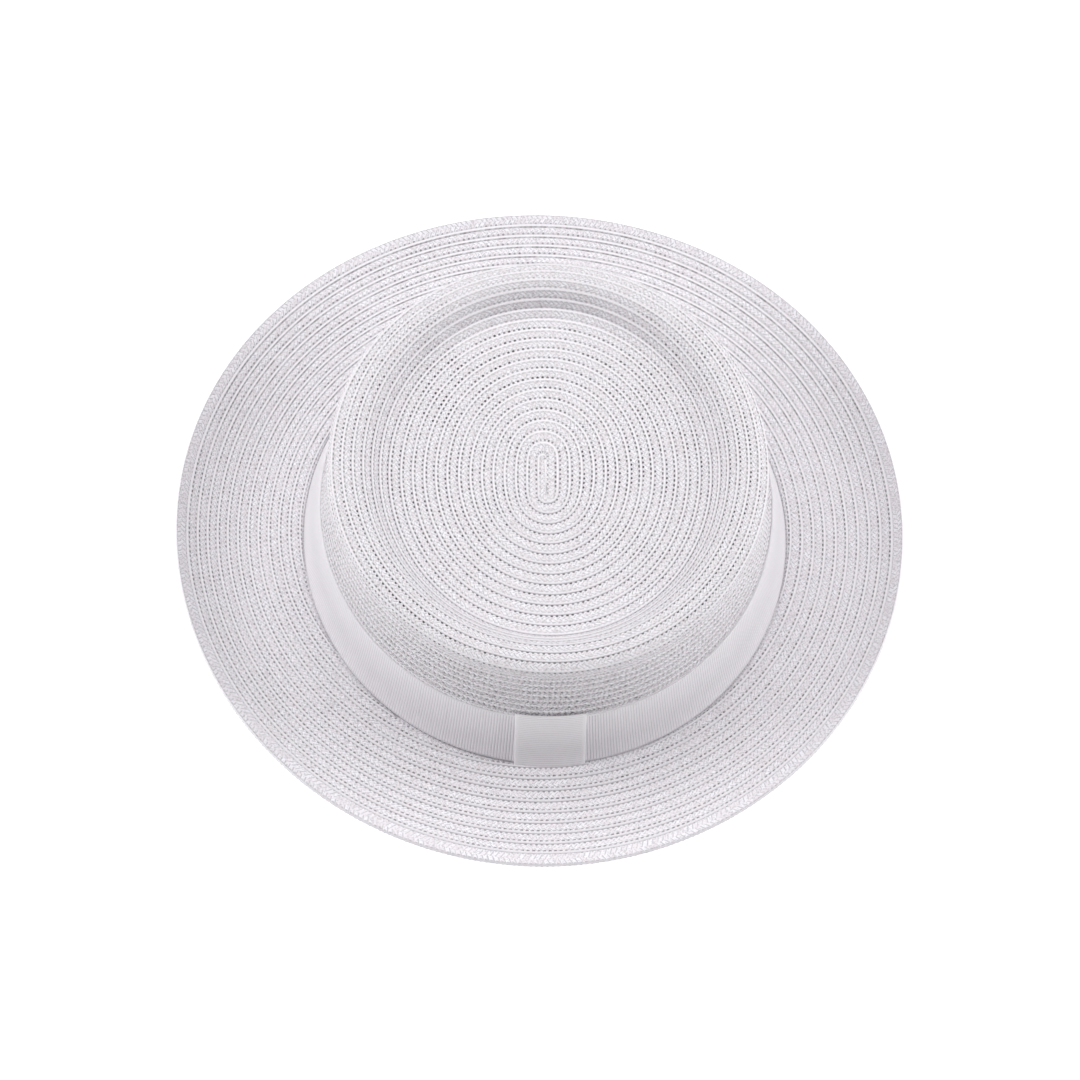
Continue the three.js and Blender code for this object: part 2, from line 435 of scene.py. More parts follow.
def finish_piece(name, mesh, tree, values, material, nodes):
    """Runs the tree over a mesh, keeps the result as a plain piece and fits it to the frame."""
    scene = bpy.context.scene
    blank = bpy.data.objects.new(name + "_blank", mesh)
    scene.collection.objects.link(blank)
    modifier = blank.modifiers.new("Relief", "NODES")
    modifier.node_group = tree
    values = values | {"Material": material}
    for item in tree.interface.items_tree:
        if item.in_out == "INPUT" and item.name in values:
            modifier[item.identifier] = values[item.name]
    graph = bpy.context.evaluated_depsgraph_get()
    made = bpy.data.meshes.new_from_object(blank.evaluated_get(graph), depsgraph=graph)
    bpy.data.objects.remove(blank)
    if not len(made.polygons):
        raise RuntimeError(f"{name} came out empty")
    made.name = name
    piece = bpy.data.objects.new(name, made)
    scene.collection.objects.link(piece)
    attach(piece, "root")
    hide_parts(*nodes)
    return piece


# ---- materials ----


def new_material(name):
    material = bpy.data.materials.new(name)
    material.use_nodes = True
    material.node_tree.nodes.clear()
    return material, Bench(material.node_tree)


# How each kind of place shows the braid, with its painted shade and highlight set for the light
# that falls there: where its holes, dashes and bright line lie across a row, and how wide; how dark
# the painted shade in the holes and dashes is, and what that gains beside, to the right and behind;
# how strong the painted shade in the gaps between strands, the dark specks and the strands' tones
# are; how pale the line is with its painted highlight, how free of painted shade, and what is left
# of it at the front; how much painted shade the rows get behind, and how the stitches wander.
LAID = dict(holes_at=HOLES, dashes_at=STITCHES, line_at=SMOOTH_EDGE, hole_wide=0.13,
            shade_behind=0.0, clean=1.0, wander=0.0)
BRAIDS = {
    "Paper Straw Top": LAID | dict(
        line_wide=0.08, front_line=0.4, bright=0.85, gaps=1.25,
        holes=(1.0, 0, 0, 0), dashes=(0.4, 0.65, 0, 0)),
    "Paper Straw Rim": LAID | dict(
        line_wide=0.07, front_line=0.6, bright=0.7, gaps=1.35,
        holes=(0.7, 0.4, 0, -0.25), dashes=(0.3, 0.55, 0, 0)),
    "Paper Straw Brim": LAID | dict(
        line_wide=0.06, front_line=0.15, bright=0.6, gaps=1.15, shade_behind=1.0,
        holes=(0.65, 0, -0.12, 0.05), dashes=(0.92, 0, 0, 0)),
    # On the wall the holes' painted shade lies just inside the free edge, as the shadow under its
    # lap, and the line's painted highlight lies where the row faces up.
    "Paper Straw Wall": LAID | dict(
        holes_at=0.93, dashes_at=0.93, line_at=0.57, hole_wide=0.15,
        line_wide=0.13, front_line=1.0, bright=1.0, gaps=1.9, clean=0.9, wander=5.0,
        holes=(1.0, 0, 0, 0), dashes=(0.6, 0, 0, 0)),
}


def surface_of(bench):
    """A place's attributes, object coordinates, x, y and distance from the hat's middle."""
    along, across = (bench.term("ShaderNodeAttribute", {"attribute_name": key}, output="Fac")
                     for key in ("along", "across"))
    place = bench.node("ShaderNodeTexCoord").outputs["Object"]
    apart = bench.node("ShaderNodeSeparateXYZ", None, {"Vector": place})
    x, y = (Term(bench, apart.outputs[axis]) for axis in "XY")
    return along, across, place, x, y, (x * x + y * y).root().at_least(0.001)


def straw_material(straw, name):
    """White paper braid: pale strands, painted shade in its stitch holes, dashes and gaps, and a
    painted highlight on its pale free edge.
    """
    look = BRAIDS[name]
    material, bench = new_material(name)
    along, across, place, x, y, radius = surface_of(bench)
    right, behind = x / radius, y / radius
    # Where a place lies round the hat, as the painted shade and highlight change with the light
    # there.
    beside = abs(right).step(0.3, 0.75)
    front, back_shade = (-behind).step(0.5, 0.95), behind.step(0.0, 0.6) * look["shade_behind"]

    # How dark the painted shade in the holes and dashes is, with what it gains beside, right and
    # behind.
    def hole_and_dash_shade(base, aside, rightward, backward):
        return straw.hole_shade * (base + aside * beside + rightward * right + backward * behind)

    phase = plait_phase(along, across)
    strand = abs((phase * math.pi).sine())
    body = across.step(PLAIT_START, 0.17) * across.step(PLAIT_END, SMOOTH_EDGE, 1.0, 0.0)
    drift, speck = bench.noise(place, 55.0, 2.0), bench.noise(place, 1700.0, 3.0)
    stitches = along + 0.5 + look["wander"] * drift
    near = abs(stitches.fraction() - 0.5)   # from 0 at a stitch hole to 0.5 between two of them

    # Each strand, and each stitch, has a lot of its own.
    strand_key = bench.node("ShaderNodeCombineXYZ", None, {
        "X": phase.floor(), "Y": (across > PLAIT_MIDDLE) * 3.7})
    luck = bench.term("ShaderNodeTexWhiteNoise", {"noise_dimensions": "3D"},
                      {"Vector": strand_key.outputs[0]}, "Value")
    hole_luck = bench.term("ShaderNodeTexWhiteNoise", {"noise_dimensions": "1D"},
                           {"W": stitches.floor()}, "Value")

    # The row before: the painted shadow under it, lighter at the front and, on the brim, darker and
    # wider behind; and the painted shade in the holes of its seam, as ovals.
    hole_at = look["holes_at"] + 0.06 * behind.step(0.1, 0.9)
    from_hole = ((near / 0.3) ** 2 + ((across - hole_at) / look["hole_wide"]) ** 2).root()
    hole = from_hole.step(0.6, 1.1, 1.0, 0.0)
    hole = hole * (0.5 + 0.5 * hole_luck) * drift.step(0.3, 0.6, 0.75, 1.0) * hole_and_dash_shade(*look["holes"])
    lap_shadow = across.step(0.0, 0.07, 0.3, 0.0) * (1 - 0.6 * front + 0.8 * back_shade)
    lap_shadow = lap_shadow.at_least(across.step(0.05, 0.25, 0.3, 0.0) * back_shade)

    # This row: the painted shade in the dashes of its seam, joined into a line behind on the brim;
    # the painted shade in the gaps between its strands, random dark specks, and painted shade on
    # the drop under its free edge.
    dash = across.bump(look["dashes_at"], 0.13) * near.step(0.16, 0.3).at_least(0.75 * back_shade)
    dash = dash * (0.55 + 0.45 * hole_luck) * hole_and_dash_shade(*look["dashes"]) * (1 - 0.1 * back_shade)
    strand_gap_shade = body * strand.step(0.05, 0.55, 1.0, 0.0) * (0.08 + 0.36 * luck) * look["gaps"]
    fleck = (0.35 + 0.65 * body) * speck.step(0.5, 0.66) * 0.25 * look["gaps"]
    dropped = across.step(1.005, 1.03)
    dark = hole
    for shade in (lap_shadow, dash, strand_gap_shade, fleck, dropped * 0.5):
        dark = dark.at_least(shade)
    # Each strand's own tone, and a little painted shade on the smooth strip past the plait.
    dark = dark + body * (1 - luck) * 0.1 * look["gaps"]
    dark = dark.at_least(across.step(PLAIT_END - 0.04, PLAIT_END) * 0.14)

    # The pale free edge with a painted highlight along it, weaker at the front and clear of painted
    # shade; and painted glints on the straw.
    line = across.bump(look["line_at"], look["line_wide"]) * (1 - (1 - look["front_line"]) * front)
    dark = dark * (1 - look["clean"] * line * (across > 0.3))
    # Painted glints where the fine noise runs low.
    line = (look["bright"] * line).at_least(speck.step(0.36, 0.5, 0.7, 0.0))

    tint = bench.mix(luck, (*straw.straw_warm, 1), (*straw.straw_cool, 1))
    pale = bench.mix(line, tint, (*straw.straw_edge_and_highlight, 1))
    color = bench.mix(dark, pale, (*straw.straw_dark, 1))

    threads = abs((phase * 3 * math.pi).sine())
    height = body * (strand.root() + 0.25 * threads) + 0.5 * speck - 1.2 * hole - 0.8 * dash
    bump = bench.node("ShaderNodeBump", None, {
        "Strength": 0.6, "Distance": 0.00012, "Height": height})
    rough = 0.62 - 0.1 * across.bump(SMOOTH_EDGE, 0.14) + 0.2 * (speck - 0.5)
    bench.principled({"Base Color": color, "Roughness": rough, "Specular IOR Level": 0.35,
                      "Normal": bump.outputs[0]})
    return material


THREAD = 0.3          # millimetres across the ribbon from one thread to the next
PINCH_SHADE_END = 0.022     # metres from the keeper's middle, where the painted shade of the band's gather beside it ends


def ribbon_material(ribbon, name, lit_keeper):
    """White grosgrain: cool white ribs with painted shade between them, deepest at the front and
    beside the keeper, and a plain selvedge. The last argument goes from 0, the band, to 1, the loop
    of the keeper, which is painted paler and with less painted shade, as lit more than the band."""
    material, bench = new_material(name)
    along, across, place, x, y, radius = surface_of(bench)
    weave, drift = bench.noise(place, 1800.0, 2.0), bench.noise(place, 35.0, 2.0)
    rib = abs((along * math.pi).sine())
    thread = abs((across * (RIBBON_WIDTH / THREAD) * math.pi).sine())
    side = across.at_most(1 - across).step(0.012 + 0.03 * lit_keeper, 0.03 + 0.04 * lit_keeper)
    front = (-y / radius).step(0.2, 0.95)
    pinch_shade = abs(x - CROWN_X * MM).step(KEEPER_WIDTH / 2 * MM, PINCH_SHADE_END, 1.0, 0.0) * front
    # Painted shade between the ribs, more at the front and in the band's gather beside the keeper,
    # and less on the keeper.
    between = 0.16 + 0.2 * front + 0.22 * pinch_shade * (1 - lit_keeper)
    dark = rib.step(0.1, 0.75, 1.0, 0.0) * side * between * (1 - 0.25 * lit_keeper)
    dark = dark + 0.12 * (1 - thread) * side * (1 - 0.6 * lit_keeper)
    dark = dark + 0.1 * (1 - side) * (1 - lit_keeper)
    # Random paler patches on the band; the keeper is painted all in the palest colour, as lit more.
    pale = bench.mix(drift * (1 - lit_keeper) + lit_keeper,
                     (*ribbon.ribbon_color, 1), (*ribbon.ribbon_pale_and_lit, 1))
    color = bench.mix(dark + 0.2 * (weave - 0.5), pale, (*ribbon.ribbon_dark, 1))
    bump = bench.node("ShaderNodeBump", None, {
        "Strength": 0.5, "Distance": 0.0001, "Height": rib.root() + 0.35 * thread + 0.3 * weave})
    bench.principled({
        "Base Color": color, "Roughness": 0.62 + 0.15 * (weave - 0.5), "Specular IOR Level": 0.3,
        "Sheen Weight": 0.25, "Sheen Roughness": 0.5, "Normal": bump.outputs[0]})
    return material


MADE = {}


def made_once(key, make, *given):
    """A tree or material of the hat, made the first time that it is asked for."""
    if key not in MADE:
        MADE[key] = make(*given)
    return MADE[key]


# ---- settings ----


class StrawSettings(bpy.types.PropertyGroup):
    """Sizes and colours of the sewn braid."""

    pitch: FloatProperty(name="Plait", description="Length of one plait along the braid",
        default=1.9 * MM, unit="LENGTH")
    lap: FloatProperty(
        name="Lap", description="How far each row's free edge stands over the next row",
        default=0.36 * MM, unit="LENGTH")
    strand: FloatProperty(name="Strand", description="How far the strands stand up",
        default=0.24 * MM, unit="LENGTH")
    hole: FloatProperty(name="Stitch Hole", description="Depth of the holes beside each lap",
        default=0.3 * MM, unit="LENGTH")
    groove: FloatProperty(name="Stitch Groove", description="Depth of the seam by the free edge",
        default=0.12 * MM, unit="LENGTH")
    edge: FloatProperty(name="Edge", description="How far the smooth free edge stands up",
        default=0.12 * MM, unit="LENGTH")
    # How dark the painted shade in the stitch holes and dashes is.
    hole_shade: FloatProperty(name="Hole Shade", description="How dark the stitch holes are",
        default=1.0, min=0, max=1, subtype="FACTOR")
    straw_warm: FloatVectorProperty(name="Warm Strand", description="Colour of the warmer strands",
        default=(0.932, 0.887, 0.927), subtype="COLOR", min=0, max=1)
    straw_cool: FloatVectorProperty(name="Cool Strand", description="Colour of the cooler strands",
        default=(0.90, 0.885, 0.935), subtype="COLOR", min=0, max=1)
    # The pale free edge, with its painted highlight and glints.
    straw_edge_and_highlight: FloatVectorProperty(name="Edge Colour", description="Colour of the free edge",
        default=(0.98, 0.955, 0.99), subtype="COLOR", min=0, max=1)
    straw_dark: FloatVectorProperty(name="Shade", description="Colour down in the holes",
        default=(0.035, 0.03, 0.037), subtype="COLOR", min=0, max=1)


class RibbonSettings(bpy.types.PropertyGroup):
    """Sizes and colours of the ribbon."""

    rib_pitch: FloatProperty(name="Rib Pitch", description="From one rib to the next",
        default=1.03 * MM, unit="LENGTH")
    rib: FloatProperty(name="Rib", description="How far the ribs stand up",
        default=0.12 * MM, unit="LENGTH")
    ribbon_color: FloatVectorProperty(name="Ribbon", description="Colour of the ribs",
        default=(0.91, 0.88, 0.93), subtype="COLOR", min=0, max=1)
    # The palest ribs, and the keeper, which is painted in it as lit more.
    ribbon_pale_and_lit: FloatVectorProperty(name="Ribbon Light", description="Colour of the palest ribs",
        default=(0.99, 0.97, 0.995), subtype="COLOR", min=0, max=1)
    ribbon_dark: FloatVectorProperty(name="Ribbon Shade", description="Colour between the ribs",
        default=(0.42, 0.40, 0.44), subtype="COLOR", min=0, max=1)


class StageSettings(bpy.types.PropertyGroup):
    """Floor and light."""

    floor_color: FloatVectorProperty(name="Floor", description="Colour of the floor",
        default=(0.95, 0.95, 0.95), subtype="COLOR", min=0, max=1)
    floor_glow: FloatProperty(
        name="Floor Glow", description="Light that the floor gives, as a light table does",
        default=0.6, min=0)
    top_light: FloatProperty(name="Top Light", description="Power of the soft light overhead",
        default=18.8, unit="POWER")
    left_light: FloatProperty(name="Left Light", description="Power of the soft light on the left",
        default=9.8, unit="POWER")
    right_light: FloatProperty(
        name="Right Light", description="Power of the soft light on the right",
        default=11.6, unit="POWER")
    sky: FloatProperty(name="Sky", description="Strength of the light from all round",
        default=0.19, min=0)


# ---- the braid's pieces ----

# Where a strip has points across it, from 0 to its free edge at 1. The last one is the edge's drop.
FINE_LEVELS = [0, 0.05, 0.15, 0.29, 0.43, 0.57, 0.71, 0.8, 0.88, 1, 1.06]
WALL_LEVELS = [0, 0.15, 0.3, 0.45, 0.6, 0.75, 0.9, 1, 1.06]
PLAIN_LEVELS = [0, 0.3, 0.6, 0.9, 1, 1.06]
LINING_LEVELS = [0, 0.15, 0.5, 1]
FINE, COARSE = 4, 2   # columns of points a plait

UNDERSIDE = STRAW - 0.45   # how far below the rows' base line the underside's plait begins
EDGE_DROP = 0.25   # how far a free edge turns down
FOOT_TRIM = 0.16   # the braid ends this share of a row above the floor
CROWN_CUT, BRIM_CUT = 0.95, 0.9   # the most that is cut off a row where it narrows
TURN_NUMBERS, ROW_NUMBERS = 100, 400   # so many numbers are kept for a turn's or a row's plaits
SEAM_WIDE, SEAM_SUNK = 0.3, 0.05   # the seam's strip, in rows and millimetres
TURN_REACH, TURN_SUNK = 0.1, 0.2   # the same for the braid's turn out into the brim

# The angles, counted on from the crown's middle, at which one piece of its braid ends.
SPIRAL_START = 0.1   # from here on the braid is wide enough to be seen
TIP_END = 14 * TAU
RIM_END = (CROWN_TOP_COUNT + 1) * TAU
WALL_END = (CROWN_TOP_COUNT + 6) * TAU
SIDE_END = (CROWN_TOP_COUNT + 11) * TAU   # from here on the ribbon hides it
SPIRAL_END = (crown_line.count + 0.7) * TAU

BRIM_ROW_COUNT, OUTER_ROWS = 13, 5
WHOLE_ROWS = 5   # so many from the edge keep their width all round
RING_TURN, ARC_SAMPLES = 0.3, 2001   # radians from one ring's start to the next one's
SHORT_ROW_END = 0.15   # where a short row stops, in rows from the headline
EDGE_ROW, EDGE_ROW_MORE = 0.75, 0.5   # how wide the first row is, and how much wider at the front
EDGE_ROW_SHARES = (0.12, 0.66)   # what is seen of it, between its stitches


def lay_braid(straw, name, node, parts, look="Paper Straw Brim", **changes):
    """Makes one piece from strips of braid, in the look of one kind of place."""
    tree, material = made_once("braid", braid_tree), made_once(look, straw_material, straw, look)
    values = {"Lap": straw.lap, "Strand": straw.strand, "Drop": EDGE_DROP * MM,
              "Hole": straw.hole, "Groove": straw.groove, "Edge": straw.edge}
    finish_piece(name, mesh_of(name, parts), tree, values | changes, material, [node])


def crown_spiral(straw, start, end, levels, columns, sink=0.0, flip=False):
    """The crown's one long braid between two angles."""
    count = crown_line.count - FOOT_TRIM

    def outer(angle):
        return np.clip(turns_out(angle), 0, count)

    def inner(angle):
        return np.clip(turns_out(angle) - 1, 0, count)

    course = Course(crown_point, inner, outer, start, end, straw.pitch / MM, columns)
    cut_inner = np.clip(1 - turns_out(course.angle), 0, CROWN_CUT)
    cut_outer = 1 - np.clip(turns_out(course.angle) - count, 0, CROWN_CUT)
    first = 1 + math.floor(start / TAU) * TURN_NUMBERS
    return braid_part(course, levels, first, cut_inner, cut_outer, columns, sink, flip)


def plain_ring(inner, outer, across, step, sink=0.0, flip=False):
    """A plain strip round the crown between two places in its rows, flat, and with one shade."""
    course = Course(crown_point, lambda angle: np.full_like(angle, inner),
                    lambda angle: np.full_like(angle, outer), 0, TAU, step, 1)
    points, quads, attributes = braid_part(course, [0, 1], 0, across, across, 1, sink, flip)
    return course, points, quads, attributes | {"out": np.zeros_like(attributes["out"])}


def seam_strip(flip):
    """Closes the seam in the middle of the tip, where the braid is folded back on itself."""
    sink = UNDERSIDE - SEAM_SUNK if flip else SEAM_SUNK
    # It has the colour of a row's smooth free edge, with the painted highlight there.
    return plain_ring(0.0, SEAM_WIDE, SMOOTH_EDGE, 1.0, sink, flip)[1:]


def headline_strip():
    """The turn of the braid from the crown's foot out into the brim, in the ribbon's shade."""
    course, points, quads, attributes = plain_ring(
        crown_line.count - 0.5, crown_line.count - 0.4, PLAIT_MIDDLE, 2.0)
    outer = brim_point(np.full_like(course.angle, TURN_REACH), course.angle)
    points[1::2] = outer - [0, 0, TURN_SUNK]
    return points, quads, attributes


def brim_pitch(angle):
    """The rows' pitch towards an angle, in rows of the solid brim: they lie closer at its sides."""
    return 1.05 + 0.09 * np.cos(angle) - 0.08 * np.sin(angle) - 0.06 * np.cos(2 * angle)


def brim_border(row, angle):
    """Where a row of the brim, counted inwards from the edge, has its outer border."""
    if row == 0:
        return np.full_like(angle, brim_line.count)
    front = np.clip(-np.sin(angle), 0, 1)
    edge_row = EDGE_ROW + EDGE_ROW_MORE * front**2 * (3 - 2 * front)
    border = brim_line.count - edge_row - (row - 1) * brim_pitch(angle)
    return np.where(border < SHORT_ROW_END, 0, border)


def brim_course(straw, row, start, end, columns):
    return Course(brim_point, lambda angle: brim_border(row + 1, angle),
                  lambda angle: brim_border(row, angle), start, end, straw.pitch / MM, columns)


def shown_arcs(row):
    """The angles between which a row of the brim shows: all round, or the arcs of a short row."""
    samples = np.linspace(0, TAU, ARC_SAMPLES)
    shown = brim_border(row, samples) > 0
    if shown.all():
        return [(RING_TURN * row, RING_TURN * row + TAU)]
    first = int(np.argmin(shown))
    shown, samples = np.roll(shown[:-1], -first), np.roll(samples[:-1], -first)
    samples = np.where(samples < samples[0], samples + TAU, samples)
    turns = np.flatnonzero(np.diff(np.r_[0, shown, 0]))
    return [(samples[start], samples[end - 1]) for start, end in zip(turns[::2], turns[1::2])]


def brim_row(straw, row, levels, columns, sink=0.0, flip=False):
    """A row of the brim's braid, as one closed ring or as the arcs where a short row shows."""
    parts = []
    for start, end in shown_arcs(row):
        course = brim_course(straw, row, start, end, columns)
        wide = brim_border(row, course.angle) - brim_border(row + 1, course.angle)
        cut = np.clip(1 - wide / brim_pitch(course.angle), 0, BRIM_CUT) * (row >= WHOLE_ROWS)
        shares = (cut, 1.0) if row else EDGE_ROW_SHARES
        parts.append(braid_part(course, levels, ROW_NUMBERS * row, *shares, columns, sink, flip))
    return parts


# The section of the brim's edge: how far up from its outer border, and out from it.
EDGE_SECTION = ((0.27, 0), (0.1, 0.2), (-0.2, 0.25), (-0.6, 0.15), (-UNDERSIDE, -0.1))
EDGE_SHADE = 0.9   # the edge has the colour of this place across a row: pale, with part of a free edge's painted highlight


def brim_edge(straw):
    """The brim's edge, rounded over from its last row down to its underside."""
    course = brim_course(straw, 0, 0, TAU, COARSE)
    outwards = unit(course.outer - course.inner)
    points = np.stack([course.outer + rise * course.out + reach * outwards
                       for rise, reach in EDGE_SECTION], 1)
    along = np.broadcast_to(np.arange(len(points))[:, None] / COARSE, points.shape[:2])
    across = np.full(points.shape[:2], EDGE_SHADE)
    return (points.reshape(-1, 3), quads_between(numbers(points)),
            {"along": along, "across": across, "out": np.zeros_like(points)})


class STRAWHAT_OT_crown_top(bpy.types.Operator):
    """Lay the braid of the tip, the dent and the rim"""

    bl_idname = "straw_hat.crown_top"
    bl_label = "Crown Top"

    def execute(self, context):
        straw = context.scene.straw_hat_straw
        tip = crown_spiral(straw, SPIRAL_START, TIP_END, FINE_LEVELS, FINE)
        lay_braid(straw, "crown_tip_braid", "crown", [tip, seam_strip(False)], "Paper Straw Top")
        rim = crown_spiral(straw, TIP_END, RIM_END, FINE_LEVELS, FINE)
        lay_braid(straw, "crown_rim_braid", "crown", [rim], "Paper Straw Rim")
        return {"FINISHED"}


class STRAWHAT_OT_crown_side(bpy.types.Operator):
    """Lay the braid of the crown's side, plainer where the ribbon covers it"""

    bl_idname = "straw_hat.crown_side"
    bl_label = "Crown Side"

    def execute(self, context):
        straw = context.scene.straw_hat_straw
        for name, start, end in (("crown_side_braid", RIM_END, WALL_END),
                                 ("crown_lower_braid", WALL_END, SIDE_END)):
            seen = crown_spiral(straw, start, end, WALL_LEVELS, FINE)
            lay_braid(straw, name, "crown", [seen], "Paper Straw Wall")
        hidden = crown_spiral(straw, SIDE_END, SPIRAL_END, PLAIN_LEVELS, COARSE)
        lay_braid(straw, "crown_foot_braid", "crown", [hidden, headline_strip()], Hole=0.0)
        return {"FINISHED"}


class STRAWHAT_OT_brim(bpy.types.Operator):
    """Lay the brim's rows of braid"""

    bl_idname = "straw_hat.brim"
    bl_label = "Brim"

    def execute(self, context):
        straw = context.scene.straw_hat_straw
        edge = [brim_edge(straw)] + brim_row(straw, 0, FINE_LEVELS[:-1], FINE)
        for name, rows, parts in (("brim_outer_braid", range(1, OUTER_ROWS), edge),
                                  ("brim_inner_braid", range(OUTER_ROWS, BRIM_ROW_COUNT), [])):
            for row in rows:
                parts += brim_row(straw, row, FINE_LEVELS, FINE)
            lay_braid(straw, name, "brim", parts)
        return {"FINISHED"}


class STRAWHAT_OT_linings(bpy.types.Operator):
    """Lay the braid's other face, inside the crown and under the brim"""

    bl_idname = "straw_hat.linings"
    bl_label = "Inner Faces"

    def execute(self, context):
        straw = context.scene.straw_hat_straw
        face = (LINING_LEVELS, COARSE, UNDERSIDE, True)
        inside = [crown_spiral(straw, SPIRAL_START, SPIRAL_END, *face), seam_strip(True)]
        lay_braid(straw, "crown_inside_braid", "crown", inside, Hole=0.0, Lap=0.0)
        under = [part for row in range(BRIM_ROW_COUNT) for part in brim_row(straw, row, *face)]
        lay_braid(straw, "brim_under_braid", "brim", under, Hole=0.0, Lap=0.0)
        return {"FINISHED"}


# ---- the ribbon ----

RIBBON_SHARES = np.array([0, 0.03, 0.06, 0.2, 0.35, 0.5, 0.65, 0.8, 0.94, 0.97, 1])
BAND_BACK, BAND_FACE = 0.3, 0.9   # out from the straw's base line
BAND_DROP, BAND_SAMPLES = 0.5, 6001   # it lies this much nearer to the brim than the solid band
SELVEDGE, SELVEDGE_WIDE = 0.05, 0.04   # millimetres up, and a share of the ribbon's width
KEEPER_BACK, KEEPER_FACE = BAND_BACK - 0.1, 1.7
KEEPER_THICK, KEEPER_BOW = 0.5, 0.12   # it bows out a little halfway down
KEEPER_PAST, KEEPER_TURN = 0.3, 0.9   # past the band's edges, and the radius of its turns there
KEEPER_TUCK, TURN_STEPS = 0.05, 5


def beside_crown(down, out, angle):
    """A point at a distance down the crown's side from the rim's corner, and out from it."""
    place = CROWN_TOP_COUNT + np.asarray(down) / SIDE_PITCH
    half, height = crown_line.at(place)
    ahead = crown_line.at(place + 0.05)
    behind = crown_line.at(place - 0.05)
    run, fall = ahead[0] - behind[0], ahead[1] - behind[1]
    size = np.hypot(run, fall)
    half, height = half - out * fall / size, height + out * run / size
    x, y = oval(half, angle)
    return np.stack(np.broadcast_arrays(x + CROWN_X, y, height), -1)


def lay_ribbon(ribbon, name, node, material, face, back, back_shares, along, outwards, loop):
    """Makes one piece of the ribbon from the lines of points along its face and its back. along is
    counted in ribs."""
    points = np.stack(face + back, 1)
    out = np.zeros_like(points)
    out[:, :len(face)] = unit(outwards)
    attributes = {
        "along": np.broadcast_to(along[:, None], points.shape[:2]),
        "across": np.broadcast_to(np.r_[RIBBON_SHARES, back_shares], points.shape[:2]), "out": out}
    mesh = ribbon_mesh(name, points, attributes, loop)
    values = {"Rib": ribbon.rib, "Selvedge": SELVEDGE * MM, "Selvedge Width": SELVEDGE_WIDE}
    return finish_piece(name, mesh, made_once("rib", rib_tree), values, material, [node])


class STRAWHAT_OT_band(bpy.types.Operator):
    """Put the ribbon band round the crown"""

    bl_idname = "straw_hat.band"
    bl_label = "Ribbon Band"

    def execute(self, context):
        ribbon = context.scene.straw_hat_ribbon
        angles = np.linspace(0, TAU, BAND_SAMPLES)
        top = RIBBON_TOP + BAND_DROP
        length = lengths(beside_crown(top + RIBBON_WIDTH / 2, BAND_FACE, angles))
        ribs = round(length[-1] * MM / ribbon.rib_pitch)
        angle = np.interp(np.linspace(0, length[-1], ribs * FINE + 1)[:-1], length, angles)
        face = [beside_crown(top + s * RIBBON_WIDTH, BAND_FACE, angle) for s in RIBBON_SHARES]
        shares = (1, 0.5, 0)
        back = [beside_crown(top + s * RIBBON_WIDTH, BAND_BACK, angle) for s in shares]
        material = ribbon_material(ribbon, "White Grosgrain", 0.0)
        piece = lay_ribbon(
            ribbon, "ribbon_band_cloth", "ribbon_band", material, face, back, shares,
            np.arange(len(angle)) / FINE, (face[0] - back[-1])[:, None], True)
        return {"FINISHED"}


def keeper_path(pitch):
    """The loop from behind the band's upper edge, over the band and back behind its lower edge: how
    far down the crown's side it is, and how far out."""
    top, foot = RIBBON_TOP - KEEPER_PAST, RIBBON_TOP + RIBBON_WIDTH + KEEPER_PAST
    upper, lower = top + KEEPER_TUCK, foot - KEEPER_TUCK

    def turned(edge, reach, start, end):
        return [(edge + reach * math.sin(turn), KEEPER_FACE - KEEPER_TURN * math.cos(turn))
                for turn in np.linspace(start, end, TURN_STEPS)]

    path = [(upper, KEEPER_BACK), *turned(upper, -KEEPER_TURN, 0, math.pi / 2)]
    ribs = round((foot - top) * MM / pitch)
    for share in np.linspace(0, 1, ribs * FINE + 1)[1:-1]:
        bow = KEEPER_BOW * math.sin(math.pi * share)
        path.append((top - KEEPER_TURN + share * (foot - top + 2 * KEEPER_TURN), KEEPER_FACE + bow))
    path = np.array([*path, *turned(lower, KEEPER_TURN, math.pi / 2, 0), (lower, KEEPER_BACK)])
    path[:, 1] = np.maximum(path[:, 1], KEEPER_BACK)
    return path


def on_keeper(path, share):
    """Points over the keeper's path, at a share of its width from one side."""
    half = crown_line.at(CROWN_TOP_COUNT + path[:, 0] / SIDE_PITCH)[0] + path[:, 1]
    angle = -np.arccos((share - 0.5) * KEEPER_WIDTH / half)
    return beside_crown(path[:, 0], path[:, 1], angle)


class STRAWHAT_OT_keeper(bpy.types.Operator):
    """Fold the keeper, a loop of ribbon, round the band"""

    bl_idname = "straw_hat.keeper"
    bl_label = "Ribbon Keeper"

    def execute(self, context):
        ribbon = context.scene.straw_hat_ribbon
        path = keeper_path(ribbon.rib_pitch)
        run = lengths(path)
        tangent = unit(np.gradient(path, axis=0))
        normal = np.stack([-tangent[:, 1], tangent[:, 0]], -1)   # away from the band
        face = [on_keeper(path, share) for share in RIBBON_SHARES]
        back = [on_keeper(path - normal * KEEPER_THICK, share) for share in RIBBON_SHARES[::-1]]
        raised = [on_keeper(path + normal * 0.1, share) for share in RIBBON_SHARES]
        material = ribbon_material(ribbon, "White Grosgrain Loop", 1.0)
        piece = lay_ribbon(
            ribbon, "ribbon_keeper_cloth", "ribbon_keeper", material, face, back,
            RIBBON_SHARES[::-1], run / (ribbon.rib_pitch / MM),
            np.stack(raised, 1) - np.stack(face, 1), False)
        return {"FINISHED"}


# ---- the stage ----


def looking(back, distance=1.0, aim=Vector((0, 0, 0))):
    """Where a light or camera stands that is this far back from its aim and looks at it."""
    facing = (-back).to_track_quat("-Z", "Y").to_matrix().to_4x4()
    return Matrix.Translation(aim + back * distance) @ facing


